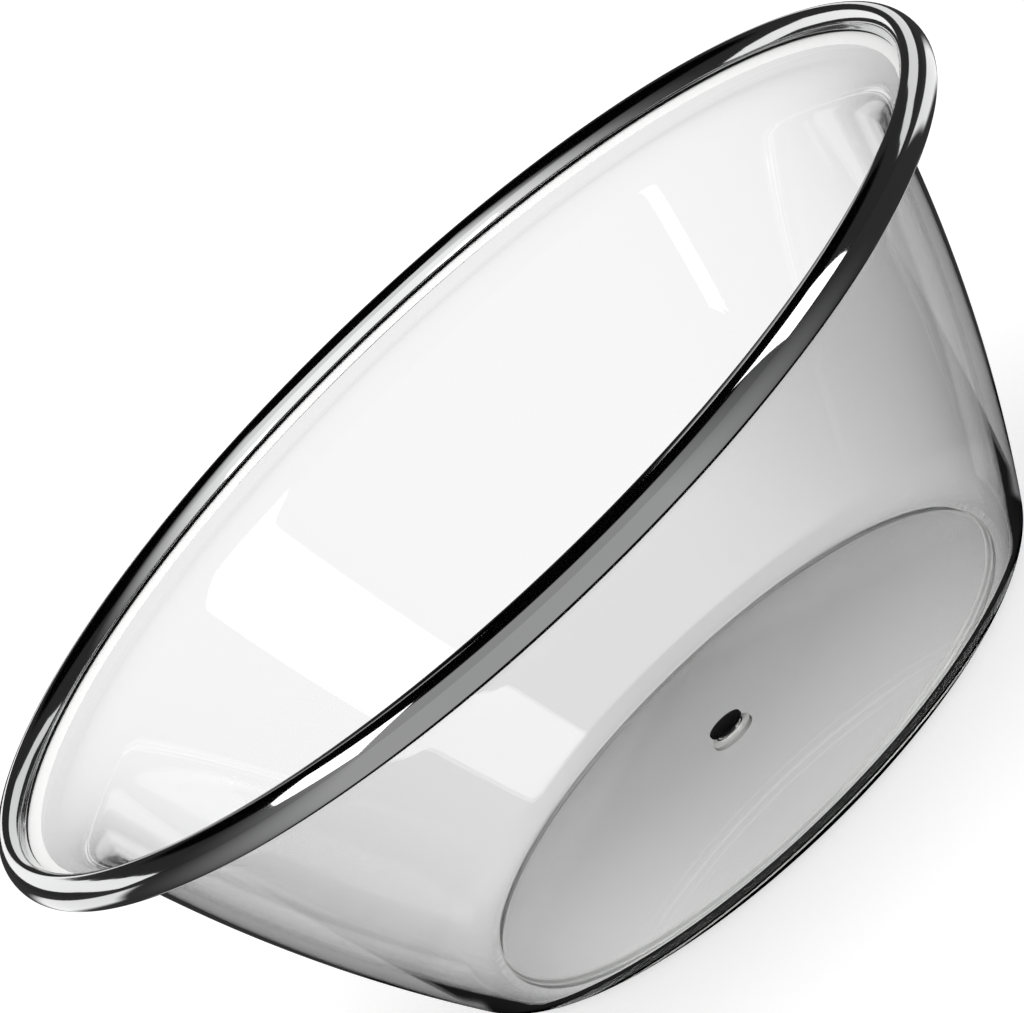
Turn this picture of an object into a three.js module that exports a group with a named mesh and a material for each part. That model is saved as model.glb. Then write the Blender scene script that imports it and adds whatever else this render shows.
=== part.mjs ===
// A clear glass hand basin with a rolled steel rim and a plugged drain hole in its floor.
// Millimetres, +Z up, the basin's axis on Z and its foot on Z = 0.
import * as THREE from "three";

// Floor and foot of the glass
const FOOT_RADIUS = 99; // where the flat foot turns into the round corner
const STEP_RADIUS = 95.5; // inside this the floor is raised off the table
const STEP_HEIGHT = 1.5;
const FLOOR_DOME = 5.5; // rise of the floor from its edge to the drain
const GLASS = 4.5; // thickness of the glass everywhere
const DRAIN_HOLE_DIAMETER = 9;

// Wall of the glass, measured on its outer face. A lean is the angle off the vertical.
const CORNER_RADIUS = 13;
const WALL_LEAN_FOOT = 31;
const WALL_LEAN_TOP = 16.7;
const WALL_RISE = 105.1;
const FLARE_RADIUS = 13;
const FLANGE_LEAN = 70;
const FLANGE_LENGTH = 11.1;

// Steel ring, an open oval rolled round the flange's edge
const RING_WIDTH = 9.4;
const RING_HEIGHT = 12.4;
const RING_SHEET = 1;
const RING_SHIFT_OUT = 1.2; // from the middle of the flange's edge to the middle of the oval
const RING_SHIFT_UP = 1.82;
const UPPER_GAP = 1.2; // between the ring's upper edge and the flange's top
const LOWER_GAP = 0.6; // between its lower edge and the flange's lower face

// Rubber liner between the flange and the ring
const LIP_THICKNESS = 0.6;
const LIP_SHOWING = 0.2; // how far its lip reaches past the ring's upper edge

// Drain bush and plug
const BUSH_FLANGE_WIDTH = 2.6; // outside the hole, under the floor
const BUSH_FLANGE_THICKNESS = 1.4;
const BUSH_WALL = 1.4;
const PLUG_HEAD_OVERHANG = 1.3; // outside the hole, on the floor
const PLUG_HEAD_EDGE = 0.9;
const PLUG_HEAD_CROWN = 0.5;
const PLUG_TIP_LENGTH = 1.2; // stem below the bush
const PLUG_TIP_CHAMFER = 0.6;

// Gap left between pieces that touch
const CLEARANCE = 0.3;

// Facets
const ROUND_STEPS = 60;
const SMALL_STEPS = 32;
const CORNER_STEPS = 5;
const WALL_STEPS = 5;
const FLARE_STEPS = 4;
const FLOOR_STEPS = 4;
const RING_STEPS = 14;
const LINER_STEPS = 12;
const CROWN_STEPS = 4;

const radians = (degrees) => (degrees * Math.PI) / 180;
const range = (count) => Array.from({ length: count + 1 }, (_, i) => i / count);
const shifted = ([r, z], distance, [dr, dz]) => [r + distance * dr, z + distance * dz];

// Turns a list of [radius, height] points about Z. The list runs with the solid on its left.
function turned(name, points, steps, material) {
  const outline = points.map(([r, z]) => new THREE.Vector2(r, z));
  const shape = new THREE.LatheGeometry(outline, steps);
  shape.rotateX(Math.PI / 2);
  const mesh = new THREE.Mesh(shape, material);
  mesh.name = name;
  return mesh;
}

const clearGlass = new THREE.MeshStandardMaterial({
  color: 0xe6ebea,
  roughness: 0.02,
  transparent: true,
  opacity: 0.35,
});
const polishedSteel = new THREE.MeshStandardMaterial({ color: 0xc4c6c8, metalness: 1, roughness: 0.08 });
const blackRubber = new THREE.MeshStandardMaterial({ color: 0x17181a, roughness: 0.55 });
const whiteSilicone = new THREE.MeshStandardMaterial({ color: 0xe8e8e5, roughness: 0.6 });

// Outer face of the glass: an arc whose tangent goes from one lean to another.
// Returns points with the lean at each, so that the inner face can be set off from them.
function arc([r, z], radius, leanFrom, leanTo, steps) {
  const sign = Math.sign(leanTo - leanFrom);
  const [a, b] = [radians(leanFrom), radians(leanTo)];
  return range(steps).map((t) => {
    const lean = a + (b - a) * t;
    return {
      point: [
        r + sign * radius * (Math.cos(a) - Math.cos(lean)),
        z + sign * radius * (Math.sin(lean) - Math.sin(a)),
      ],
      lean,
    };
  });
}

const last = (list) => list[list.length - 1];
const corner = arc([FOOT_RADIUS, 0], CORNER_RADIUS, 90, WALL_LEAN_FOOT, CORNER_STEPS);
const wallRadius = WALL_RISE / (Math.sin(radians(WALL_LEAN_FOOT)) - Math.sin(radians(WALL_LEAN_TOP)));
const wall = arc(last(corner).point, wallRadius, WALL_LEAN_FOOT, WALL_LEAN_TOP, WALL_STEPS);
const flare = arc(last(wall).point, FLARE_RADIUS, WALL_LEAN_TOP, FLANGE_LEAN, FLARE_STEPS);
const flangeLean = radians(FLANGE_LEAN);
const along = [Math.sin(flangeLean), Math.cos(flangeLean)];
const above = [-Math.cos(flangeLean), Math.sin(flangeLean)];
const flangeUnder = shifted(last(flare).point, FLANGE_LENGTH, along);
const outerFace = [
  ...corner,
  ...wall.slice(1),
  ...flare.slice(1),
  { point: flangeUnder, lean: flangeLean },
];
const inner = ({ point, lean }) => shifted(point, GLASS, [-Math.cos(lean), Math.sin(lean)]);
const flangeTop = shifted(flangeUnder, GLASS, above);

// The floor is a shallow dome inside a step that shows on both of its faces.
const holeRadius = DRAIN_HOLE_DIAMETER / 2;
const floorUnder = (r) => STEP_HEIGHT + FLOOR_DOME * (1 - (r / STEP_RADIUS) ** 2);
const floorRadii = range(FLOOR_STEPS).map((t) => holeRadius + (STEP_RADIUS - holeRadius) * t);
const undersideDome = floorRadii.map((r) => [r, floorUnder(r)]);
const topDome = floorRadii.map((r) => [r, floorUnder(r) + GLASS]).reverse();
const bowlOutline = [
  ...undersideDome,
  [STEP_RADIUS, 0],
  ...outerFace.map((entry) => entry.point),
  ...outerFace.map(inner).reverse(),
  [STEP_RADIUS, GLASS],
  ...topDome,
  undersideDome[0],
];

// Rim: the ring's oval lies round the middle of the flange's edge.
const edgeMiddle = shifted(flangeUnder, GLASS / 2, above);
const ringShift = [RING_SHIFT_OUT, RING_SHIFT_UP];
const ringMiddle = shifted(edgeMiddle, 1, ringShift);
const shiftAbove = ringShift[0] * above[0] + ringShift[1] * above[1];

// Angle on an oval set in from the ring's outside at which it comes to a height over the
// flange's top (side 1) or under its lower face (side -1), on the basin's side of the ring.
function cutAngle(setIn, height, side) {
  const a = RING_WIDTH / 2 - setIn;
  const b = RING_HEIGHT / 2 - setIn;
  const across = [side * a * above[0], side * b * above[1]];
  const reach = (height + GLASS / 2 - side * shiftAbove) / Math.hypot(...across);
  return Math.atan2(across[1], across[0]) + side * Math.acos(reach);
}

// Points along such an oval, from its lower cut round the outside and over the top.
function oval(setIn, lowerHeight, upperHeight, steps) {
  const from = cutAngle(setIn, lowerHeight, -1);
  const to = cutAngle(setIn, upperHeight, 1);
  return range(steps).map((t) => {
    const angle = from + (to - from) * t;
    return [
      ringMiddle[0] + (RING_WIDTH / 2 - setIn) * Math.cos(angle),
      ringMiddle[1] + (RING_HEIGHT / 2 - setIn) * Math.sin(angle),
    ];
  });
}

const ringOutside = oval(0, LOWER_GAP, UPPER_GAP, RING_STEPS);
const ringInside = oval(RING_SHEET, LOWER_GAP, UPPER_GAP, LINER_STEPS);
const ringOutline = [...ringOutside, ...ringInside.reverse(), ringOutside[0]];

// The liner fills the oval round the flange's edge. It thins out under the flange, and above the
// flange it runs on into a lip.
const lipHeight = CLEARANCE + LIP_THICKNESS;
const linerOval = oval(RING_SHEET + CLEARANCE, CLEARANCE, lipHeight, LINER_STEPS);
const onTop = (end, height) => shifted(shifted(flangeTop, end, along), height, above);
const ringEnd = last(ringOutside);
const ringEndAlong = (ringEnd[0] - flangeTop[0]) * along[0] + (ringEnd[1] - flangeTop[1]) * along[1];
const lipEnd = ringEndAlong - LIP_SHOWING;
const linerOutline = [
  ...linerOval,
  onTop(lipEnd, lipHeight),
  onTop(lipEnd, CLEARANCE),
  onTop(CLEARANCE, CLEARANCE),
  onTop(CLEARANCE, -GLASS - CLEARANCE),
  linerOval[0],
];

// Drain: the bush is pushed up into the hole, and the plug's head closes it from above.
const floorTopAtDrain = floorUnder(holeRadius) + GLASS;
const bushOuter = holeRadius - CLEARANCE;
const bushBore = bushOuter - BUSH_WALL;
const bushFlangeTop = floorUnder(holeRadius + BUSH_FLANGE_WIDTH) - CLEARANCE;
const bushBottom = bushFlangeTop - BUSH_FLANGE_THICKNESS;
const bushFlangeRadius = holeRadius + BUSH_FLANGE_WIDTH;
const bushOutline = [
  [bushBore, bushBottom],
  [bushFlangeRadius, bushBottom],
  [bushFlangeRadius, bushFlangeTop],
  [bushOuter, bushFlangeTop],
  [bushOuter, floorTopAtDrain],
  [bushBore, floorTopAtDrain],
  [bushBore, bushBottom],
];

const stemRadius = bushBore - CLEARANCE;
const plugSeat = floorTopAtDrain + CLEARANCE;
const plugHeadRadius = holeRadius + PLUG_HEAD_OVERHANG;
const plugBottom = bushBottom - PLUG_TIP_LENGTH;
const crown = range(CROWN_STEPS).map((t) => [
  plugHeadRadius * Math.cos((t * Math.PI) / 2),
  plugSeat + PLUG_HEAD_EDGE + PLUG_HEAD_CROWN * Math.sin((t * Math.PI) / 2),
]);
crown[crown.length - 1][0] = 0;
const plugOutline = [
  [0, plugBottom],
  [stemRadius - PLUG_TIP_CHAMFER, plugBottom],
  [stemRadius, plugBottom + PLUG_TIP_CHAMFER],
  [stemRadius, plugSeat],
  [plugHeadRadius, plugSeat],
  ...crown,
];

const group = new THREE.Group();
group.name = "hand_basin";
group.add(turned("glass_bowl", bowlOutline, ROUND_STEPS, clearGlass));
group.add(turned("rim_seal", linerOutline, ROUND_STEPS, blackRubber));
group.add(turned("rim_ring", ringOutline, ROUND_STEPS, polishedSteel));
group.add(turned("drain_bush", bushOutline, SMALL_STEPS, whiteSilicone));
group.add(turned("drain_plug", plugOutline, SMALL_STEPS, blackRubber));

export default group;
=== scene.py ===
# %% [markdown]
# A clear glass hand basin with a rolled steel rim. The CAD frame gives the pieces, their places and
# how they move. This lesson makes a finer surface for each piece and gives it its finish. Everything
# is round, so each piece is one outline, worked out with numpy and turned about the basin's axis.

# %% Frame
import math

import bmesh
import bpy
import numpy as np
from mathutils import Matrix, Vector


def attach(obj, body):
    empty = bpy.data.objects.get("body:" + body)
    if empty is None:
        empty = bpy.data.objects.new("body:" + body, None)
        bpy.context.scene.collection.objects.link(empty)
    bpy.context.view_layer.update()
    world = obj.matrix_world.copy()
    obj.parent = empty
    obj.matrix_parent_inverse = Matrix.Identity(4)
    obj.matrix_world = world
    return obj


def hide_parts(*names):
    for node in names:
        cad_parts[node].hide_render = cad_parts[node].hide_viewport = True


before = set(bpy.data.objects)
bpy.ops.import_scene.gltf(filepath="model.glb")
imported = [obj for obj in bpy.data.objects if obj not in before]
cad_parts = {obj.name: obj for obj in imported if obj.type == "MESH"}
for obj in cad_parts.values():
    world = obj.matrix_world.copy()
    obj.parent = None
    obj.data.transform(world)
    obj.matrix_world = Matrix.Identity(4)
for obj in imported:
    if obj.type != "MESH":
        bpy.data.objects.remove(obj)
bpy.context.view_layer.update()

MM = 0.001
scene = bpy.context.scene
scene.view_settings.view_transform = "Standard"

# %% [markdown]
# Blender wants linear colours, and people write them as sRGB hex values. One function turns the one
# into the other. A finish is a tree of shader nodes. They could be laid by hand in the editor, but a
# script can be read and run again, so a second function adds a node, sets its sockets and links, and
# hands it back.


# %% Colours and nodes
def linear(hex_colour):
    """sRGB to linear: under 0.04045 a twelfth and a bit, and above it a power of 2.4."""
    srgb = np.array([int(hex_colour[i:i + 2], 16) for i in (1, 3, 5)]) / 255
    flat = srgb / 12.92
    curved = ((srgb + 0.055) / 1.055) ** 2.4
    return (*np.where(srgb <= 0.04045, flat, curved), 1.0)


def node(tree, kind, settings=None, **sockets):
    """Adds a node. Settings are its own fields. Each socket, by name or by number, takes a value,
    another node's output, or another node, which stands for its first output."""
    made = tree.nodes.new(kind)
    for field, value in (settings or {}).items():
        setattr(made, field, value)
    for name, value in sockets.items():
        key = int(name[1:]) if name[1:].isdigit() else name.replace("_", " ")
        if isinstance(value, bpy.types.Node):
            value = value.outputs[0]
        if isinstance(value, bpy.types.NodeSocket):
            tree.links.new(value, made.inputs[key])
        else:
            made.inputs[key].default_value = value
    return made


def finish_named(name):
    """A material with an empty node tree, and that tree."""
    material = bpy.data.materials.new(name)
    material.use_nodes = True
    material.node_tree.nodes.clear()
    return material, material.node_tree


COORDINATES, NOISE = "ShaderNodeTexCoord", "ShaderNodeTexNoise"
RANGE, MIX = "ShaderNodeMapRange", "ShaderNodeMix"
PRINCIPLED, OUTPUT = "ShaderNodeBsdfPrincipled", "ShaderNodeOutputMaterial"
RGBA = {"data_type": "RGBA"}
RAMP = ("Value", "From_Min", "From_Max", "To_Min", "To_Max")
print("middle grey in linear colour:", round(float(linear("#808080")[0]), 3))

# %% [markdown]
# Every piece here was pressed, rolled or moulded round, so it is an outline turned about Z. The
# outline is a list of (radius, height) points with the solid on its left. Blender's Spin or Screw
# would do it too, but a grid of whole arrays gives the faces, the seam and the UV map in one go.
# Sharp corners catch no light, so they are rounded before the outline is turned.


# %% Rounding corners
def softened(corners, cut, steps=8):
    """Rounds each corner of a closed outline: the quadratic curve from the point that lies one cut
    before the corner to the one a cut after it, with the corner as its control point. A point a
    little outside either end keeps the smooth shading of the curve off the flat beside it."""
    def toward(other):
        way = other - corners
        return way / np.maximum(np.linalg.norm(way, axis=1), 1e-9)[:, None]

    cut = np.asarray(cut, float)[:, None]
    back, ahead = toward(np.roll(corners, 1, axis=0)), toward(np.roll(corners, -1, axis=0))
    start, end = (corners + cut * back)[:, None], (corners + cut * ahead)[:, None]
    s = np.linspace(0, 1, steps)[None, :, None]
    curve = (1 - s) ** 2 * start + 2 * s * (1 - s) * corners[:, None] + s ** 2 * end
    before, after = (corners + 1.25 * cut * back)[:, None], (corners + 1.25 * cut * ahead)[:, None]
    points = np.concatenate([before, curve, after], 1).reshape(-1, 2)
    return points[np.linalg.norm(points - np.roll(points, 1, axis=0), axis=1) > 1e-6]


# %% Turning
def turned(name, outline, around, material, poles=False, ground=None):
    """Point (i, j) is outline point i carried round by j steps: (r cos a, r sin a, z). Without poles
    the outline closes on itself, and with poles its ends are single points on the axis. Ground is a
    second material and the outline's rows that get it."""
    r, z = outline.T * MM
    rows = len(outline)
    angle = np.arange(around) * 2 * np.pi / around
    across, along = np.outer(r, np.cos(angle)), np.outer(r, np.sin(angle))
    grid = np.stack(np.broadcast_arrays(across, along, z[:, None]), -1)
    i, j = np.meshgrid(np.arange(rows - 1 if poles else rows), np.arange(around), indexing="ij")
    low, high = i * around, (i + 1) % rows * around
    j2 = (j + 1) % around
    quads = np.stack([low + j, low + j2, high + j2, high + j], -1).reshape(-1, 4)

    steps = np.linalg.norm(np.diff(outline, axis=0, append=outline[:1]), axis=1)
    length = np.r_[0, np.cumsum(steps)] * MM
    u = np.stack([j, j + 1, j + 1, j], -1) * (2 * np.pi / around) * r.max()
    v = np.stack([length[i], length[i], length[i + 1], length[i + 1]], -1)
    mesh = bpy.data.meshes.new(name)
    mesh.from_pydata(grid.reshape(-1, 3), [], quads)
    uv = np.stack([u, v], -1).astype(np.float32)
    mesh.uv_layers.new(name="UVMap").uv.foreach_set("vector", uv.ravel())
    if poles:
        work = bmesh.new()
        work.from_mesh(mesh)
        bmesh.ops.remove_doubles(work, verts=work.verts, dist=1e-6)
        bmesh.ops.dissolve_degenerate(work, edges=work.edges, dist=1e-7)
        work.to_mesh(mesh)
        work.free()

    mesh.polygons.foreach_set("use_smooth", np.ones(len(mesh.polygons), bool))
    mesh.materials.append(material)
    if ground is not None:
        mesh.materials.append(ground[0])
        mesh.polygons.foreach_set("material_index", np.repeat(ground[1], around).astype(np.int32))
    mesh.validate()
    piece = bpy.data.objects.new(name, mesh)
    scene.collection.objects.link(piece)
    print(f"{name}: {len(mesh.vertices)} points, {len(mesh.polygons)} faces")
    return piece


def stands_for(piece, cad_node, body):
    """The piece takes the CAD node's place and moves with its body."""
    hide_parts(cad_node)
    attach(piece, body)


# %% [markdown]
# The glass. A basin like this is pressed: a gob of hot glass goes into a mould and a plunger drives
# it up the wall. That leaves one thickness all over and soft edges. The wall could be a single sheet
# with Solidify on it, but clear glass bends light at both of its faces, so both are drawn: the outer
# face as a chain of arcs, and the inner one set off from it by the thickness.

# %% Glass sizes in millimetres, as in the part's source
FOOT_RADIUS = 99
STEP_RADIUS, STEP_HEIGHT = 95.5, 1.5
FLOOR_DOME = 5.5
GLASS = 4.5
HOLE_RADIUS = 4.5
CORNER_RADIUS = 13
WALL_LEAN_FOOT, WALL_LEAN_TOP = 31, 16.7
WALL_RISE = 105.1
FLARE_RADIUS = 13
FLANGE_LEAN = 70
FLANGE_LENGTH = 11.1
GROUND_BAND = 6.6
SMALL_CUT, EDGE_CUT = 0.6, 1.2


def arc(start, radius, lean_from, lean_to, steps):
    """The outer face as an arc whose lean off the vertical runs evenly from one angle to the other:
    the start plus the radius times the change of minus the lean's cosine, and of its sine."""
    a, b = np.radians([lean_from, lean_to])
    lean = np.linspace(a, b, steps + 1)
    side = np.sign(b - a) * radius
    r = start[0] + side * (np.cos(a) - np.cos(lean))
    z = start[1] + side * (np.sin(lean) - np.sin(a))
    return np.stack([r, z], 1), lean


def floor_under(r):
    """Underside of the floor: the step, plus a dome that falls off with the square of the radius."""
    return STEP_HEIGHT + FLOOR_DOME * (1 - (r / STEP_RADIUS) ** 2)


# %% Glass outline
corner, corner_lean = arc((FOOT_RADIUS, 0), CORNER_RADIUS, 90, WALL_LEAN_FOOT, 28)
bend = WALL_RISE / (math.sin(math.radians(WALL_LEAN_FOOT)) - math.sin(math.radians(WALL_LEAN_TOP)))
wall, wall_lean = arc(corner[-1], bend, WALL_LEAN_FOOT, WALL_LEAN_TOP, 56)
flare, flare_lean = arc(wall[-1], FLARE_RADIUS, WALL_LEAN_TOP, FLANGE_LEAN, 18)
lean = math.radians(FLANGE_LEAN)
ALONG = np.array([math.sin(lean), math.cos(lean)])
ABOVE = np.array([-math.cos(lean), math.sin(lean)])
flange_under = flare[-1] + FLANGE_LENGTH * ALONG
flange_top = flange_under + GLASS * ABOVE
band_under = flange_under - GROUND_BAND * ALONG
outer = np.vstack([corner, wall[1:], flare[1:], band_under, flange_under])
leans = np.r_[corner_lean, wall_lean[1:], flare_lean[1:], lean, lean]
inner = outer + GLASS * np.stack([-np.cos(leans), np.sin(leans)], 1)
dome_r = np.linspace(HOLE_RADIUS, STEP_RADIUS, 40)
dome = np.stack([dome_r, floor_under(dome_r)], 1)
glass_corners = np.vstack([
    dome, [[STEP_RADIUS, 0]], outer, inner[::-1], [[STEP_RADIUS, GLASS]], (dome + [0, GLASS])[::-1],
])
glass_cut = np.zeros(len(glass_corners))
edge_top = len(dome) + 1 + len(outer)
glass_cut[[0, -1]] = SMALL_CUT
glass_cut[[len(dome) - 1, len(dome)]] = SMALL_CUT
glass_cut[[-len(dome) - 1, -len(dome)]] = SMALL_CUT
glass_cut[[edge_top - 1, edge_top]] = EDGE_CUT
print("glass outline:", len(glass_corners), "corners, rim at", np.round(flange_top, 1))

# %% [markdown]
# Glass is one clear shader: it mirrors a little, bends light by its index of 1.5 and is all but
# colourless in a wall this thin. Pressing leaves waves some centimetres long and far too low to feel,
# and they only show where a straight line is seen through the wall. Where the rim sits, and on the
# small step round the floor, the glass is ground matt. That could be one rough clear glass, but matt
# white is what the eye gets from it, without the noise.

# %% Glass finishes
WAVE, GRIT = 0.036, 0.0005

glass_finish, tree = finish_named("clear soda-lime glass, pressed and fire polished")
place = node(tree, COORDINATES)
wave = node(tree, NOISE, Vector=place.outputs["Object"], Scale=1 / WAVE, Detail=1.0)
ripple = node(tree, "ShaderNodeBump", Height=wave, Strength=0.02, Distance=0.0004)
shader = node(
    tree, PRINCIPLED, Base_Color=linear("#fbfbfb"), Roughness=0.0, IOR=1.5, Transmission_Weight=1.0,
    Normal=ripple,
)
node(tree, OUTPUT, Surface=shader)

# Grit half a millimetre across: the matt face sparkles a little instead of lying there like paint.
ground_finish, tree = finish_named("soda-lime glass, ground with grit")
place = node(tree, COORDINATES)
grit = node(tree, NOISE, Vector=place.outputs["Object"], Scale=1 / GRIT, Detail=2.0)
tint = node(tree, MIX, RGBA, _0=grit, _6=linear("#eeefee"), _7=linear("#f9f9f8"))
dull = node(tree, RANGE, Value=grit, From_Min=0.3, From_Max=0.7, To_Min=0.6, To_Max=0.8)
shader = node(tree, PRINCIPLED, Base_Color=tint.outputs[2], Roughness=dull)
node(tree, OUTPUT, Surface=shader)
print("finishes:", glass_finish.name, "/", ground_finish.name)

# %% Glass
ROUND_STEPS = 256

glass_outline = softened(glass_corners, glass_cut)
middle = (glass_outline + np.roll(glass_outline, -1, axis=0)) / 2
back_from_edge = (flange_top - middle) @ ALONG
on_flange = np.abs((middle - flange_top) @ ABOVE) < 0.05
on_band = on_flange & (back_from_edge > 0) & (back_from_edge < GROUND_BAND)
up_step = middle[:, 1] - np.where(middle[:, 1] > GLASS, GLASS, 0)
by_step = np.abs(middle[:, 0] - STEP_RADIUS) < 0.8
on_step = by_step & (up_step > -0.1) & (up_step < STEP_HEIGHT + 0.1)
is_ground = on_step | on_band
bowl = turned("basin_glass", glass_outline, ROUND_STEPS, glass_finish, ground=(ground_finish, is_ground))
print("rows of ground glass:", is_ground.sum())
stands_for(bowl, "glass_bowl", "basin")

# %% [markdown]
# The rim: thin steel sheet rolled round the flange into an open oval, over a rubber liner. A bevelled
# curve would give a closed tube, but the real bead is open where the glass goes in. So the steel's
# outline is two ovals, one sheet apart, cut where they come close to the flange, and the liner is
# what lies between the steel and the glass.

# %% Rim sizes in millimetres
RING_WIDTH, RING_HEIGHT = 9.4, 12.4
RING_SHEET = 1
RING_SHIFT = np.array([1.2, 1.82])
LOWER_GAP, UPPER_GAP = 0.6, 1.2
LIP_THICKNESS, LIP_SHOWING = 0.6, 0.2
CLEARANCE = 0.3

ring_middle = flange_under + GLASS / 2 * ABOVE + RING_SHIFT


def oval(set_in, heights, steps):
    """An oval set in from the ring's outside, from where it comes to the first height under the
    flange's lower face, round the outside, to where it comes to the second over its top face."""
    half = np.array([RING_WIDTH, RING_HEIGHT]) / 2 - set_in
    side = np.array([-1, 1])
    across = side[:, None] * half * ABOVE
    level = np.array(heights) + GLASS / 2 - side * (RING_SHIFT @ ABOVE)
    reach = level / np.linalg.norm(across, axis=1)
    start, end = np.arctan2(across[:, 1], across[:, 0]) + side * np.arccos(reach)
    angle = np.linspace(start, end, steps + 1)
    return ring_middle + half * np.stack([np.cos(angle), np.sin(angle)], 1)


def on_top(end, height):
    """A point on the flange's top face, moved along it from its edge and up from it."""
    return flange_top + end * ALONG + height * ABOVE


# %% Rim outlines
steel_out = oval(0, (LOWER_GAP, UPPER_GAP), 56)
steel_in = oval(RING_SHEET, (LOWER_GAP, UPPER_GAP), 40)
steel_corners = np.vstack([steel_out, steel_in[::-1]])
steel_cut = np.zeros(len(steel_corners))
steel_cut[[0, len(steel_out) - 1, len(steel_out), -1]] = 0.25

lip_height = CLEARANCE + LIP_THICKNESS
liner_oval = oval(RING_SHEET + CLEARANCE, (CLEARANCE, lip_height), 40)
lip_end = (steel_out[-1] - flange_top) @ ALONG - LIP_SHOWING
liner_corners = np.vstack([
    liner_oval, on_top(lip_end, lip_height), on_top(lip_end, CLEARANCE),
    on_top(CLEARANCE, CLEARANCE), on_top(CLEARANCE, -GLASS - CLEARANCE),
])
liner_cut = np.zeros(len(liner_corners))
liner_cut[[len(liner_oval), len(liner_oval) + 1]] = 0.15
print("rim outlines:", len(steel_corners), "corners of steel and", len(liner_corners), "of rubber")

# %% [markdown]
# The steel is polished on a wheel while the ring turns, so the wheel's lines run round it. They are
# finer than the eye can part, and show as mirror images that are a little softer along the ring. A
# picture of scratches could do this, but noise drawn out along the ring needs none and has no end.

# %% Steel finish
LINE_LENGTH, LINE_WIDTH, HANDLED = 0.06, 0.0003, 0.03

steel_finish, tree = finish_named("stainless steel, rolled and wheel polished")
place = node(tree, COORDINATES)
stretch = (1 / LINE_LENGTH, 1 / LINE_WIDTH, 1)
drawn = node(tree, "ShaderNodeMapping", Vector=place.outputs["UV"], Scale=stretch)
lines = node(tree, NOISE, Vector=drawn, Scale=1.0, Detail=2.0)
gloss = node(tree, RANGE, Value=lines, From_Min=0.3, From_Max=0.7, To_Min=0.045, To_Max=0.08)
film = node(tree, NOISE, Vector=place.outputs["Object"], Scale=1 / HANDLED)
tint = node(tree, MIX, RGBA, _0=film, _6=linear("#c7c8c8"), _7=linear("#cecece"))
shader = node(tree, PRINCIPLED, Base_Color=tint.outputs[2], Metallic=1.0, Roughness=gloss)
node(tree, OUTPUT, Surface=shader)
print("finish:", steel_finish.name)

# %% [markdown]
# Rubber takes the grain of the mould it was pressed in. Black nitrile keeps water and grease out and
# makes the liner and the plug. Its satin comes from grain a quarter of a millimetre across. The grain
# could be bumps, but at this size they are only seen as gloss, so here it sets how dull the surface
# is. White silicone makes the bush. It is a cloudy material, with clouds a millimetre and a half wide.

# %% Rubber finishes
GRAIN, CLOUD = 0.00025, 0.0015

rubber_finish, tree = finish_named("nitrile rubber, moulded satin")
place = node(tree, COORDINATES)
grain = node(tree, NOISE, Vector=place.outputs["Object"], Scale=1 / GRAIN, Detail=2.0)
tint = node(tree, MIX, RGBA, _0=grain, _6=linear("#070708"), _7=linear("#101012"))
dull = node(tree, RANGE, Value=grain, From_Min=0.3, From_Max=0.7, To_Min=0.4, To_Max=0.55)
shader = node(
    tree, PRINCIPLED, Base_Color=tint.outputs[2], Roughness=dull, IOR=1.5, Specular_IOR_Level=0.1,
)
node(tree, OUTPUT, Surface=shader)

silicone_finish, tree = finish_named("silicone rubber, moulded matt")
place = node(tree, COORDINATES)
cloud = node(tree, NOISE, Vector=place.outputs["Object"], Scale=1 / CLOUD, Detail=1.0)
tint = node(tree, MIX, RGBA, _0=cloud, _6=linear("#ebebe8"), _7=linear("#f6f6f4"))
dull = node(tree, RANGE, Value=cloud, From_Min=0.3, From_Max=0.7, To_Min=0.55, To_Max=0.65)
shader = node(tree, PRINCIPLED, Base_Color=tint.outputs[2], Roughness=dull)
node(tree, OUTPUT, Surface=shader)
print("finishes:", rubber_finish.name, "/", silicone_finish.name)

# %% Rim
ring = turned("rim_steel", softened(steel_corners, steel_cut), ROUND_STEPS, steel_finish)
liner = turned("rim_liner", softened(liner_corners, liner_cut), ROUND_STEPS, rubber_finish)
stands_for(ring, "rim_ring", "basin")
stands_for(liner, "rim_seal", "basin")

# %% [markdown]
# The drain: a rubber bush pushed up into the hole, and a rubber plug with a low round head. Cylinders
# from the Add menu would come near, but the bush's flange and the plug's crown and tip need an
# outline, so they are turned as the glass is. The plug ends on the axis, in poles.

# %% Drain sizes in millimetres
BUSH_FLANGE_WIDTH, BUSH_FLANGE_THICKNESS, BUSH_WALL = 2.6, 1.4, 1.4
HEAD_OVERHANG, HEAD_EDGE, HEAD_CROWN, HEAD_CUT = 1.3, 0.9, 0.5, 0.15
TIP_LENGTH, TIP_CHAMFER = 1.2, 0.6
SMALL_STEPS = 96

floor_top = floor_under(HOLE_RADIUS) + GLASS
bush_out = HOLE_RADIUS - CLEARANCE
bush_bore = bush_out - BUSH_WALL
flange_r = HOLE_RADIUS + BUSH_FLANGE_WIDTH
flange_z = floor_under(flange_r) - CLEARANCE
bush_low = flange_z - BUSH_FLANGE_THICKNESS
stem = bush_bore - CLEARANCE
seat = floor_top + CLEARANCE
head = HOLE_RADIUS + HEAD_OVERHANG
tip = bush_low - TIP_LENGTH
print("drain in mm: bore", round(2 * bush_bore, 1), "plug head", round(2 * head, 1))

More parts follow.
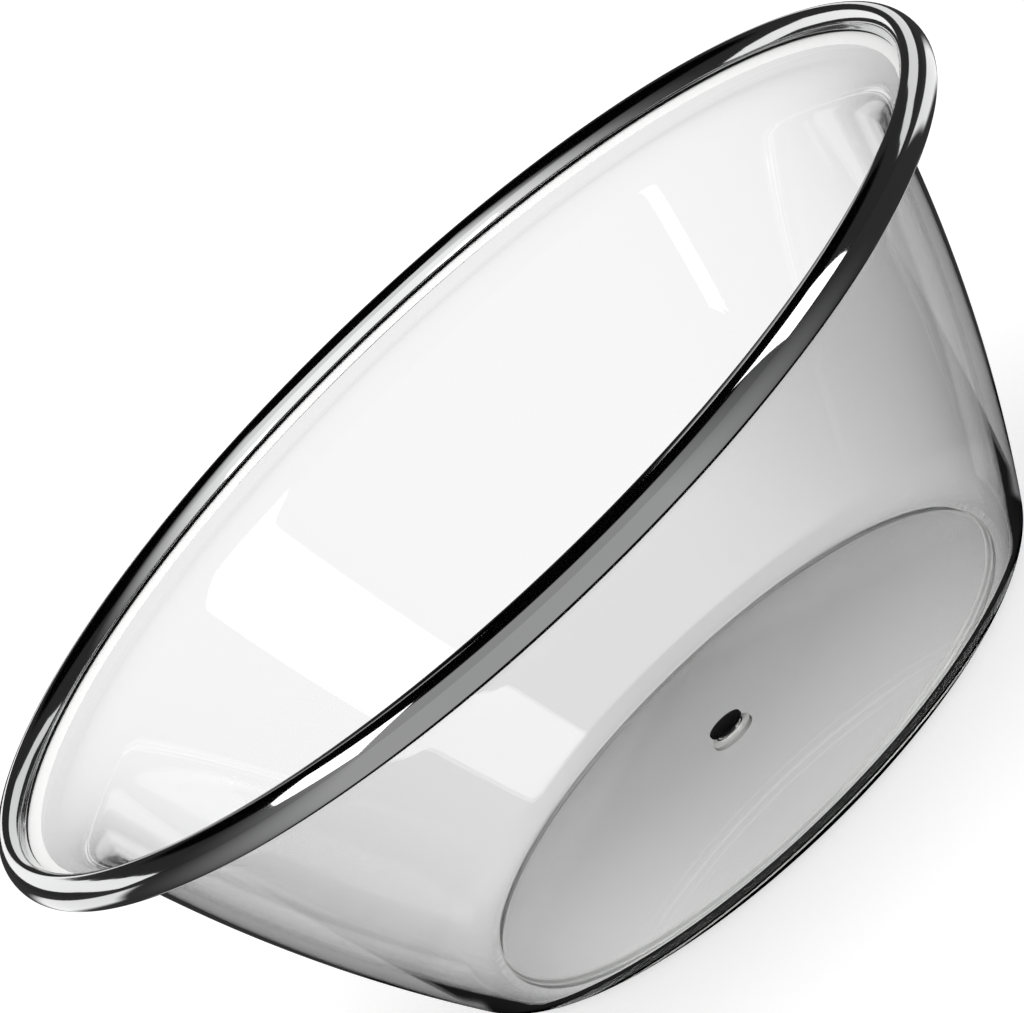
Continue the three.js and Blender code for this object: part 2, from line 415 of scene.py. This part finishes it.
# %% Drain
bush_corners = np.array([
    [bush_bore, bush_low], [flange_r, bush_low], [flange_r, flange_z], [bush_out, flange_z],
    [bush_out, floor_top], [bush_bore, floor_top],
])
bush_cut = np.full(len(bush_corners), 0.25)
turn = np.linspace(0, np.pi / 2, 13)
crown = np.stack([head * np.cos(turn), seat + HEAD_EDGE + HEAD_CROWN * np.sin(turn)], 1)
crown[-1, 0] = 0
plug_outline = np.vstack([
    [0, tip], [stem - TIP_CHAMFER, tip], [stem, tip + TIP_CHAMFER], [stem, seat],
    [head - HEAD_CUT, seat], [head, seat + HEAD_CUT], crown,
])
bush = turned("drain_bush_rubber", softened(bush_corners, bush_cut), SMALL_STEPS, silicone_finish)
plug = turned("drain_plug_rubber", plug_outline, SMALL_STEPS, rubber_finish, poles=True)
stands_for(bush, "drain_bush", "basin")
stands_for(plug, "drain_plug", "plug")

# %% [markdown]
# The camera looks from 15 degrees above the rim and is rolled, so that the basin leans to the left in
# the picture. A Track To constraint can aim a camera but not roll it, so its three axes are worked
# out and set as one matrix. The lens is long, as for a product picture.

# %% Camera
RIM_LEVEL = 0.1277
DISTANCE = 2.605
ELEVATION, ROLL = math.radians(15.17), math.radians(43.92)
FOCAL_PX, WIDE_PX = 8998, 1024
AIM_PX = (-2.6, -77.8)
SENSOR = 36

right = Vector((1, 0, 0))
up = Vector((0, math.sin(ELEVATION), math.cos(ELEVATION)))
ahead = Vector((0, math.cos(ELEVATION), -math.sin(ELEVATION)))
eye = Vector((0, 0, RIM_LEVEL)) - DISTANCE * ahead
look = (ahead + AIM_PX[0] / FOCAL_PX * right + AIM_PX[1] / FOCAL_PX * up).normalized()
side = (math.cos(ROLL) * right - math.sin(ROLL) * up).normalized()
side = (side - side.dot(look) * look).normalized()
top = side.cross(look)
camera = bpy.data.objects.new("camera", bpy.data.cameras.new("camera"))
camera.data.sensor_width = SENSOR
camera.data.lens = FOCAL_PX / WIDE_PX * SENSOR
camera.matrix_world = Matrix((side, top, -look)).transposed().to_4x4()
camera.location = eye
scene.collection.objects.link(camera)
scene.camera = camera
print("lens in mm:", round(camera.data.lens, 1))

# %% [markdown]
# Clear glass is drawn by what lies behind it. A photographer sets it in front of a lit white sheet
# and lets dark surroundings in at its edges. A real tent of white and black cloth could be built, but
# its cloth would show from other sides. Here the floor and the sky do it by the kind of ray that
# reaches them: rays that come straight through the glass see white with painted shade, greyer where
# two walls lie in front, toward the right and under the basin's floor, and rays that were turned back
# inside the glass see painted black, which draws the edges. What the camera sees itself is white
# paper with the basin's soft shadow. Mirrors see a dim studio that is lighter on the camera's side.

# %% Stage values
SEEN_WHITE = 0.62
SKY_LIGHT, SKY_UNDER_GLASS = 1.0, 0.3
STUDIO_DIM, STUDIO_FRONT = 0.04, 0.5
STUDIO_WAY = (-0.259, -0.966, 0)
BLACK = 0.015

MATH, VECTOR_MATH, XYZ = "ShaderNodeMath", "ShaderNodeVectorMath", "ShaderNodeSeparateXYZ"
EMISSION, MIX_SHADERS = "ShaderNodeEmission", "ShaderNodeMixShader"
SMOOTH = {"interpolation_type": "SMOOTHSTEP"}
TIMES, TIMES_PLUS = {"operation": "MULTIPLY"}, {"operation": "MULTIPLY_ADD"}
LESS, MORE = {"operation": "LESS_THAN"}, {"operation": "GREATER_THAN"}
LENGTH, UNIT = {"operation": "LENGTH"}, {"operation": "NORMALIZE"}


def kinds_of_ray(tree):
    """Light Path, and four switches of 1 or 0: through glass from the camera, mirrored inside the
    glass on its way, through more than one wall, and off a mirror."""
    path = node(tree, "ShaderNodeLightPath")
    kind = path.outputs
    first = node(tree, MATH, LESS, _0=kind["Diffuse Depth"], _1=0.5)
    glass = node(tree, MATH, TIMES, _0=kind["Is Transmission Ray"], _1=first)
    turned_back = node(tree, MATH, MORE, _0=kind["Glossy Depth"], _1=0.5)
    two_walls = node(tree, MATH, MORE, _0=kind["Transmission Depth"], _1=2.5)
    mirror = node(tree, MATH, TIMES, _0=kind["Is Glossy Ray"], _1=kind["Is Reflection Ray"])
    return kind, glass, turned_back, two_walls, mirror


def studio_level(tree, vector):
    """How light the studio is in a direction: it rises with the square of the cosine off its
    lightest side, from just behind square to it."""
    flat = node(tree, VECTOR_MATH, TIMES, _0=vector, _1=(1, 1, 0))
    unit = node(tree, VECTOR_MATH, UNIT, _0=flat)
    front = node(tree, VECTOR_MATH, {"operation": "DOT_PRODUCT"}, _0=unit, _1=STUDIO_WAY)
    share = node(tree, RANGE, Value=front.outputs["Value"], From_Min=0.02, From_Max=0.84)
    square = node(tree, MATH, TIMES, _0=share, _1=share)
    return node(tree, MATH, TIMES_PLUS, _0=square, _1=STUDIO_FRONT - STUDIO_DIM, _2=STUDIO_DIM)


# %% [markdown]
# The floor is a round sheet of white paper, far wider than the picture. A plane would do, but a disc
# has the same edge on every side. Its painted shade under the glass goes by where on the sheet a ray
# lands, so it stays where it is when the camera moves.

# %% Floor sheet
FLOOR_RADIUS = 12

floor_angle = np.linspace(0, 2 * np.pi, 96, endpoint=False)
circle = np.stack([np.cos(floor_angle), np.sin(floor_angle), 0 * floor_angle], 1)
sheet = bpy.data.meshes.new("floor")
sheet.from_pydata(FLOOR_RADIUS * circle, [], [list(range(len(circle)))])
floor = bpy.data.objects.new("floor", sheet)
scene.collection.objects.link(floor)
print("floor:", 2 * FLOOR_RADIUS, "m across")

# %% Floor tones
# Besides its own matt white, the paper carries painted shade and painted black edges for rays that come
# through the glass.
floor_paper_and_painted_shade, tree = finish_named("white paper, matt, with painted shade under glass")
kind, glass, turned_back, two_walls, mirror = kinds_of_ray(tree)
matt = node(tree, "ShaderNodeBsdfDiffuse", Color=linear("#cfcfcf"))
seen = node(tree, MATH, TIMES, _0=kind["Is Camera Ray"], _1=SEEN_WHITE)
glow = node(tree, EMISSION, Strength=seen)
paper = node(tree, "ShaderNodeAddShader", _0=matt, _1=glow)

spot = node(tree, COORDINATES).outputs["Object"]
where = node(tree, XYZ, Vector=spot)
x, y = where.outputs["X"], where.outputs["Y"]
from_axis = node(tree, VECTOR_MATH, LENGTH, _0=spot).outputs["Value"]
tone = {name: node(tree, RANGE, SMOOTH, **dict(zip(RAMP, row))) for name, row in {
    # One wall in front: painted shade, white in the middle and greyer toward the right.
    "far right": (x, 0.15, 0.27, 1.03, 0.9),
    "far left": (x, -0.24, -0.1, 1.05, 1.0),
    # Two walls in front: painted shade, darker toward the right.
    "near right": (x, 0.02, 0.14, 0.9, 0.62),
    "near left": (x, -0.15, -0.03, 0.94, 1.0),
    # Painted shadow under the floor of the basin, darker to the back and lighter to the left, and where
    # that ends.
    "under, to the back": (y, -0.12, 0.06, 0.9, 0.72),
    "under, to the left": (x, -0.1, 0.0, 1.26, 1.0),
    "past the floor": (from_axis, 0.125, 0.135, 0.0, 1.0),
    # In mirrors it is painted black under the rim.
    "clear of the rim": (from_axis, 0.155, 0.175, 0.0, 1.0),
}.items()}
one_wall = node(tree, MATH, TIMES, _0=tone["far right"], _1=tone["far left"])
walls = node(tree, MATH, TIMES, _0=tone["near right"], _1=tone["near left"])
under = node(tree, MATH, TIMES, _0=tone["under, to the back"], _1=tone["under, to the left"])
behind_two = node(tree, MIX, _0=tone["past the floor"], _2=under, _3=walls)
clear = node(tree, MIX, _0=two_walls, _2=one_wall, _3=behind_two)
print("floor tones:", ", ".join(tone))

# %% Floor under rays that were turned back
# Painted black close to the basin's outline on the floor draws the glass's dark edges, and widens with
# the distance behind it. The slant is the way outside that outline for each length behind the axis.
# Inside of the line, and outside of it, there is painted light.
BY_WALL, BY_CORNER = (0.19, 0.1065), (0.42, 0.099)
NEAREST = 0.004

aside = node(tree, MATH, {"operation": "ABSOLUTE"}, _0=x)
by_wall = node(tree, MATH, TIMES_PLUS, _0=y, _1=BY_WALL[0], _2=BY_WALL[1])
by_corner = node(tree, MATH, TIMES_PLUS, _0=y, _1=BY_CORNER[0], _2=BY_CORNER[1])
outline = node(tree, MATH, {"operation": "MINIMUM"}, _0=by_wall, _1=by_corner)
beyond = node(tree, MATH, {"operation": "SUBTRACT"}, _0=aside, _1=outline)
depth = node(tree, MATH, {"operation": "MAXIMUM"}, _0=y, _1=NEAREST)
slant = node(tree, MATH, {"operation": "DIVIDE"}, _0=beyond, _1=depth)
to_side = node(tree, MATH, {"operation": "ADD"}, _0=aside, _1=y)
light = {name: node(tree, RANGE, SMOOTH, **dict(zip(RAMP, row))) for name, row in {
    "inside": (slant, -0.03, -0.2, 0.0, 0.75),
    "outside": (slant, 0.3, 0.34, 0.0, 0.5),
    "not too far out": (slant, 6.0, 4.0, 0.0, 1.0),
    "not in front": (to_side, 0.098, 0.108, 0.0, 1.0),
}.items()}
both = node(tree, MATH, TIMES_PLUS, _0=light["outside"], _1=light["not too far out"], _2=light["inside"])
# Painted black edge line, with painted light inside and outside of it.
edge = node(tree, MATH, TIMES_PLUS, _0=both, _1=light["not in front"], _2=BLACK)
level = node(tree, MIX, _0=turned_back, _2=clear, _3=edge)
through = node(tree, EMISSION, Strength=level)
print("light for rays that were turned back:", ", ".join(light))

# %% Floor finish, with painted shade and painted black for rays through glass
front = studio_level(tree, spot)
mirrored = node(tree, MATH, TIMES, _0=front, _1=tone["clear of the rim"])
studio = node(tree, EMISSION, Strength=mirrored)
lit = node(tree, MIX_SHADERS, _0=glass, _1=paper, _2=through)
shown = node(tree, MIX_SHADERS, _0=mirror, _1=lit, _2=studio)
node(tree, OUTPUT, Surface=shown)
sheet.materials.append(floor_paper_and_painted_shade)
print("floor finish:", len(tree.nodes), "nodes")

# %% [markdown]
# The sky is the soft light of a white room. A dome of lamps could give it, but the world lights
# everything evenly and has no edge. Through the glass it is white at the horizon and dims upward, so
# that the wall doesn't go blank from above, and in mirrors it is the dim studio.

# %% Sky
BACKGROUND = "ShaderNodeBackground"

world = bpy.data.worlds.new("white sky")
scene.world = world
world.use_nodes = True
tree = world.node_tree
tree.nodes.clear()
kind, glass, turned_back, two_walls, mirror = kinds_of_ray(tree)
way = node(tree, COORDINATES).outputs["Generated"]
height = node(tree, XYZ, Vector=way).outputs["Z"]
under_glass = kind["Is Transmission Ray"]
soft_level = node(tree, MATH, TIMES_PLUS, _0=under_glass, _1=SKY_UNDER_GLASS - SKY_LIGHT, _2=SKY_LIGHT)
soft = node(tree, BACKGROUND, Strength=soft_level)
front = studio_level(tree, way)
low = node(tree, RANGE, SMOOTH, Value=height, From_Min=0.56, From_Max=0.64, To_Min=1.0, To_Max=0.0)
dim_level = node(tree, MATH, TIMES, _0=front, _1=low)
dim = node(tree, BACKGROUND, Strength=dim_level)
horizon = node(tree, RANGE, SMOOTH, Value=height, From_Min=0.2, From_Max=0.45, To_Min=1.0, To_Max=0.15)
# Rays turned back inside the glass see painted black in the sky too, which draws the edges.
behind_level = node(tree, MIX, _0=turned_back, _2=horizon, _3=BLACK)
behind = node(tree, BACKGROUND, Strength=behind_level)
white = node(tree, BACKGROUND, Strength=1.0)
in_mirrors = node(tree, MIX_SHADERS, _0=mirror, _1=soft, _2=dim)
in_glass = node(tree, MIX_SHADERS, _0=glass, _1=in_mirrors, _2=behind)
sky = node(tree, MIX_SHADERS, _0=kind["Is Camera Ray"], _1=in_glass, _2=white)
node(tree, "ShaderNodeOutputWorld", Surface=sky)
print("sky:", len(tree.nodes), "nodes")

# %% [markdown]
# The lamps. The window on the right and the strip on the left are the highlights on the glass. Bright
# patches could be painted on the wall, but a highlight has to slide as one walks round, so they are
# lamps that the glass mirrors. Two more only light small matt faces: the white bush under the floor,
# and the ground edges. Light linking keeps each lamp to its own piece.

# %% Lamps
LAMP_DISTANCE = 1.8


def lit_by(name, *pieces):
    """A collection of the only pieces that a lamp or card shines on, or that shade it."""
    group = bpy.data.collections.new(name)
    for piece in pieces:
        group.objects.link(piece)
    return group


def softbox(name, bearing, height, size, radiance, shines_on, shaded_by=None):
    """A rectangular lamp that faces the rim's middle. Bearing is degrees to the right of the camera's
    side, and height is degrees above the rim. Its size is in degrees as seen from the rim. Its power
    is radiance times pi times its area."""
    a, e = math.radians(bearing), math.radians(height)
    way = Vector((math.sin(a) * math.cos(e), -math.cos(a) * math.cos(e), math.sin(e)))
    lamp = bpy.data.lights.new(name, "AREA")
    lamp.shape = "RECTANGLE"
    lamp.size, lamp.size_y = (2 * LAMP_DISTANCE * math.tan(math.radians(angle / 2)) for angle in size)
    lamp.energy = radiance * math.pi * lamp.size * lamp.size_y
    box = bpy.data.objects.new(name, lamp)
    box.location = Vector((0, 0, RIM_LEVEL)) + LAMP_DISTANCE * way
    box.rotation_euler = (-way).to_track_quat("-Z", "Y").to_euler()
    box.light_linking.receiver_collection = shines_on
    box.light_linking.blocker_collection = shaded_by
    scene.collection.objects.link(box)
    print(f"{name}: {lamp.size:.2f} x {lamp.size_y:.2f} m, {lamp.energy:.1f} W")
    return box


# %% Lamps in their places
ON_GLASS = lit_by("lamps on the glass", bowl)
ON_BUSH = lit_by("lamp on the bush", bush)
BY_PLUG = lit_by("shade of the plug", plug)

softbox("window on the right", 58, 27, (26, 38), 2.4, ON_GLASS)
softbox("strip on the left", -77.9, 15, (3, 9.5), 2.2, ON_GLASS)
softbox("lamp on the bush", -10, 50, (30, 30), 12, ON_BUSH, BY_PLUG)
edge_lamp = softbox("lamp on the ground edges", 0, 20, (30, 30), 8, ON_GLASS, BY_PLUG)
edge_lamp.visible_glossy = edge_lamp.visible_transmission = False

# %% [markdown]
# Polished steel is only as good as what it mirrors. White cards round the basin, which nothing but the
# steel sees, give the rim its light bands. Lamps would do it too, but a card can have any outline.
# Each one is a piece of an upright tube that glows on the side that faces the axis and lets the lamps'
# light pass. One more lies on the floor.

# %% Cards
ON_STEEL = lit_by("cards for the steel", ring)
CARD_FACES = 48


def glow_for_steel(name, mesh, level):
    """Puts a mesh on the stage whose glow only the steel sees. Other light passes through it."""
    finish, tree = finish_named(name)
    glow = node(tree, EMISSION, Strength=level(tree))
    clear = node(tree, "ShaderNodeBsdfTransparent")
    both = node(tree, "ShaderNodeAddShader", _0=glow, _1=clear)
    node(tree, OUTPUT, Surface=both)
    mesh.materials.append(finish)
    made = bpy.data.objects.new(name, mesh)
    made.visible_camera = made.visible_diffuse = made.visible_transmission = made.visible_shadow = False
    made.light_linking.receiver_collection = ON_STEEL
    scene.collection.objects.link(made)
    print(f"{name}: {len(mesh.polygons)} faces")


def card(name, radius, bearings, low, high, level, fade):
    """At bearing b, from the low to the high elevation e over the rim: (R sin b, -R cos b, rim + R
    tan e). The glow is the level times a smooth step over the first and the last part, fade wide."""
    columns = np.linspace(bearings[0], bearings[-1], CARD_FACES + 1)
    e = np.radians(np.stack([np.interp(columns, bearings, low), np.interp(columns, bearings, high)], 1))
    b = np.radians(columns)[:, None] + 0 * e
    grid = np.stack([radius * np.sin(b), -radius * np.cos(b), RIM_LEVEL + radius * np.tan(e)], -1)
    i = np.arange(CARD_FACES) * 2
    mesh = bpy.data.meshes.new(name)
    mesh.from_pydata(grid.reshape(-1, 3), [], np.stack([i, i + 1, i + 3, i + 2], 1))
    share = np.stack([i, i, i + 2, i + 2], 1) / (2 * CARD_FACES)
    uv = np.stack([share, 0 * share], -1).astype(np.float32)
    mesh.uv_layers.new(name="UVMap").uv.foreach_set("vector", uv.ravel())

    def fading(tree):
        place = node(tree, COORDINATES)
        across = node(tree, XYZ, Vector=place.outputs["UV"])
        start = node(tree, RANGE, SMOOTH, Value=across, From_Max=fade)
        end = node(tree, RANGE, SMOOTH, Value=across, From_Min=1.0, From_Max=1.0 - fade)
        ends = node(tree, MATH, TIMES, _0=start, _1=end)
        face = node(tree, "ShaderNodeNewGeometry")
        inside = node(tree, RANGE, Value=face.outputs["Backfacing"], To_Min=level, To_Max=0.0)
        return node(tree, MATH, TIMES, _0=ends, _1=inside)

    glow_for_steel(name, mesh, fading)


# %% Cards in their places
CARDS = {
    "card over the mouth": (0.14, (-130, 150), (5, 5), (76, 76), 1.05, 0.35),
    "card on the left": (
        0.24, (-51.5, -50.2, -46.6, -32.5, -25.5), (28.2, 15.1, 7.6, 2.8, 15.2),
        (28.5, 27.4, 25.1, 18.1, 15.5), 2.5, 0.02,
    ),
    "card on the right": (
        0.24, (30.2, 35.9, 49.3, 50.8), (17.7, 1.0, 1.5, 1.6), (18, 18, 18.4, 1.8), 2.5, 0.02,
    ),
    "card behind on the left": (
        5, (-178, -165, -150, -130, -115, -103), (8, 8, 8, 8, -1, 4), (14, 22, 27, 25, 18, 4.5), 1.25, 0.02,
    ),
    "card behind on the right": (
        5, (105, 115, 125, 150, 165, 175), (4, 5, 10, 6, -1, -1), (4.5, 18, 22, 25, 16, 8), 0.95, 0.02,
    ),
}
for name, shape in CARDS.items():
    card(name, *shape)


# %% Card on the floor
CARD_HOLE, CARD_REACH, CARD_LIFT = 0.12, 1.2, 0.0003


def behind_it(tree):
    """Light at both sides behind the basin, between two radii, and right behind the far rim."""
    spot = node(tree, COORDINATES).outputs["Object"]
    from_axis = node(tree, VECTOR_MATH, LENGTH, _0=spot).outputs["Value"]
    unit = node(tree, VECTOR_MATH, UNIT, _0=spot)
    back = node(tree, XYZ, Vector=unit).outputs["Y"]
    tone = {name: node(tree, RANGE, SMOOTH, **dict(zip(RAMP, row))) for name, row in {
        "at the sides": (back, 0.2, 0.3, 0.0, 1.1),
        "not right behind": (back, 0.82, 0.72, 0.0, 1.0),
        "not too near": (from_axis, 0.32, 0.38, 0.0, 1.0),
        "not too far": (from_axis, 1.1, 0.9, 0.0, 1.0),
        "by the rim": (from_axis, 0.25, 0.21, 0.0, 1.0),
        "at the back": (back, 0.3, 0.5, 0.0, 0.9),
    }.items()}
    way = node(tree, MATH, TIMES, _0=tone["at the sides"], _1=tone["not right behind"])
    along = node(tree, MATH, TIMES, _0=tone["not too near"], _1=tone["not too far"])
    sides = node(tree, MATH, TIMES, _0=way, _1=along)
    return node(tree, MATH, TIMES_PLUS, _0=tone["by the rim"], _1=tone["at the back"], _2=sides)


mat_rows = np.vstack([CARD_HOLE * circle, CARD_REACH * circle]) + [0, 0, CARD_LIFT]
k = np.arange(len(circle))
k2 = (k + 1) % len(circle)
mat = bpy.data.meshes.new("card on the floor")
mat.from_pydata(mat_rows, [], np.stack([k, k2, k2 + len(k), k + len(k)], 1)[:, ::-1])
glow_for_steel("card on the floor", mat, behind_it)
